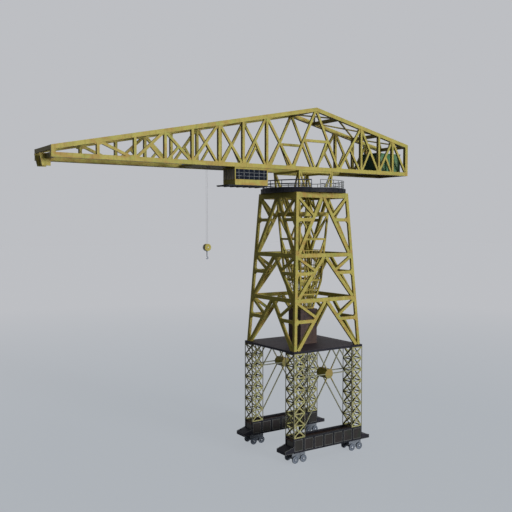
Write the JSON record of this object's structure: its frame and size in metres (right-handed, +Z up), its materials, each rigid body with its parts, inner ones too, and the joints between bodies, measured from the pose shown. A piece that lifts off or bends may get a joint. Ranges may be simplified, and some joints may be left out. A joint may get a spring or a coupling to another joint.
{
  "type": "scale model of a travelling tower crane",
  "caption": "Travelling tower crane at 1:10: portal on rail wheels, braced tower, slewing column with a level jib, trolley, hook, cab and winch house.",
  "frame": {"origin": "on the slewing axis, at rail level under the travel wheels", "axes": "+X along the rails and the jib, towards its tail; the nose points to -X; +Z up"},
  "size_m": [4.618, 1.0072, 4.002],
  "materials": {
    "crane_paint": "weathered olive-yellow paint on riveted steel",
    "dark_paint": "matt near-black paint",
    "brown_paint": "dark brown painted plate",
    "wheel_paint": "blue-grey paint, worn bright on the treads",
    "green_paint": "green painted sheet metal",
    "window_glass": "dark window glass",
    "rope_steel": "greased steel wire rope"
  },
  "bodies": {
    "portal": {"sill_near": "dark_paint", "sill_far": "dark_paint", "bogie_frames": "wheel_paint", "leg_near_left": "crane_paint", "leg_near_right": "crane_paint", "leg_far_left": "crane_paint", "leg_far_right": "crane_paint", "portal_bracing_near": "crane_paint", "portal_bracing_far": "crane_paint", "deck": "dark_paint", "machine_box": "brown_paint", "tower_posts": "crane_paint", "tower_beams": "crane_paint", "tower_bracing_front": "crane_paint", "tower_bracing_right": "crane_paint", "tower_bracing_back": "crane_paint", "tower_bracing_left": "crane_paint", "bearing_ring": "dark_paint", "ring_railing": "wheel_paint"},
    "trolley": {"trolley_frame": "dark_paint", "trolley_wheels": "wheel_paint", "trolley_sheaves": "wheel_paint", "hook_falls": "rope_steel"},
    "hook": {"hook_block": "crane_paint", "hook": "wheel_paint"},
    "travel_wheels_1": {"wheelset_1": "wheel_paint"},
    "travel_wheels_2": {"wheelset_2": "wheel_paint"},
    "travel_wheels_3": {"wheelset_3": "wheel_paint"},
    "travel_wheels_4": {"wheelset_4": "wheel_paint"},
    "travel_wheels_5": {"wheelset_5": "wheel_paint"},
    "travel_wheels_6": {"wheelset_6": "wheel_paint"},
    "travel_wheels_7": {"wheelset_7": "wheel_paint"},
    "travel_wheels_8": {"wheelset_8": "wheel_paint"},
    "slewing_part": {"column_posts": "crane_paint", "column_bracing": "crane_paint", "column_foot": "crane_paint", "jib_bottom_chords": "crane_paint", "jib_top_chords": "crane_paint", "jib_diagonals": "crane_paint", "jib_posts": "crane_paint", "jib_struts": "crane_paint", "jib_top_bracing": "crane_paint", "jib_cross_beams": "crane_paint", "nose_bracket": "crane_paint", "tail_floor": "dark_paint", "winch_house": "green_paint", "counterweight": "brown_paint", "cab_walls": "crane_paint", "cab_roof": "crane_paint", "cab_floor": "dark_paint", "cab_windows": "window_glass", "trolley_runway": "crane_paint"}
  },
  "joints": [
    {"name": "slew", "type": "hinge", "parent": "portal", "child": "slewing_part", "pos_m": [0, 0, 1.66], "axis": [0, 0, 1], "continuous": true},
    {"name": "trolley_travel", "type": "slide", "parent": "slewing_part", "child": "trolley", "axis": [-1, 0, 0], "range_m": [0, 1.43]},
    {"name": "hoist", "type": "slide", "parent": "trolley", "child": "hook", "axis": [0, 0, 1], "range_m": [0, 0.8], "deforming": ["hook_falls"]},
    {"name": "wheel_turn_1", "type": "hinge", "parent": "portal", "child": "travel_wheels_1", "pos_m": [-0.47, -0.4195, 0.042], "axis": [0, 1, 0], "continuous": true},
    {"name": "wheel_turn_2", "type": "hinge", "parent": "portal", "child": "travel_wheels_2", "pos_m": [-0.358, -0.4195, 0.042], "axis": [0, 1, 0], "continuous": true},
    {"name": "wheel_turn_3", "type": "hinge", "parent": "portal", "child": "travel_wheels_3", "pos_m": [0.358, -0.4195, 0.042], "axis": [0, 1, 0], "continuous": true},
    {"name": "wheel_turn_4", "type": "hinge", "parent": "portal", "child": "travel_wheels_4", "pos_m": [0.47, -0.4195, 0.042], "axis": [0, 1, 0], "continuous": true},
    {"name": "wheel_turn_5", "type": "hinge", "parent": "portal", "child": "travel_wheels_5", "pos_m": [-0.47, 0.4195, 0.042], "axis": [0, 1, 0], "continuous": true},
    {"name": "wheel_turn_6", "type": "hinge", "parent": "portal", "child": "travel_wheels_6", "pos_m": [-0.358, 0.4195, 0.042], "axis": [0, 1, 0], "continuous": true},
    {"name": "wheel_turn_7", "type": "hinge", "parent": "portal", "child": "travel_wheels_7", "pos_m": [0.358, 0.4195, 0.042], "axis": [0, 1, 0], "continuous": true},
    {"name": "wheel_turn_8", "type": "hinge", "parent": "portal", "child": "travel_wheels_8", "pos_m": [0.47, 0.4195, 0.042], "axis": [0, 1, 0], "continuous": true}
  ]
}
